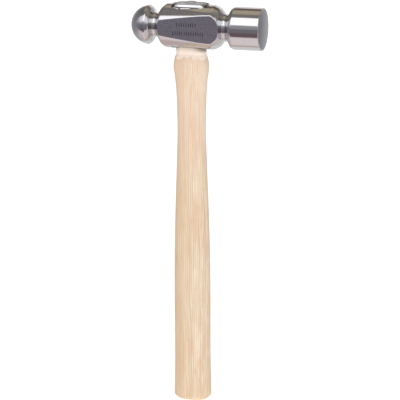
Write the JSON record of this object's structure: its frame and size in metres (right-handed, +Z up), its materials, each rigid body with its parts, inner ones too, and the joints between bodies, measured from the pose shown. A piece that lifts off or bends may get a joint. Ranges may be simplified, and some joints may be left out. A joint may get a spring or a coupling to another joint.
{
  "type": "ball peen hammer",
  "caption": "Ball peen hammer: polished steel head with a round ball peen and a crowned striking face, on an oval ash handle held by a wooden wedge and a steel ring wedge.",
  "frame": {"origin": "centre of the butt face of the handle, on the handle's axis", "axes": "+Z up the handle to the head, +X along the head towards the striking face, -X to the ball"},
  "size_m": [0.128, 0.04, 0.3888],
  "materials": {
    "head_steel": "polished, with satin cheeks and face",
    "ash_wood": "clear satin lacquer",
    "wedge_wood": "sawn",
    "ring_steel": "bright"
  },
  "bodies": {
    "root": {"hammer_head": "head_steel", "handle": "ash_wood", "wooden_wedge": "wedge_wood", "ring_wedge": "ring_steel"}
  },
  "joints": []
}
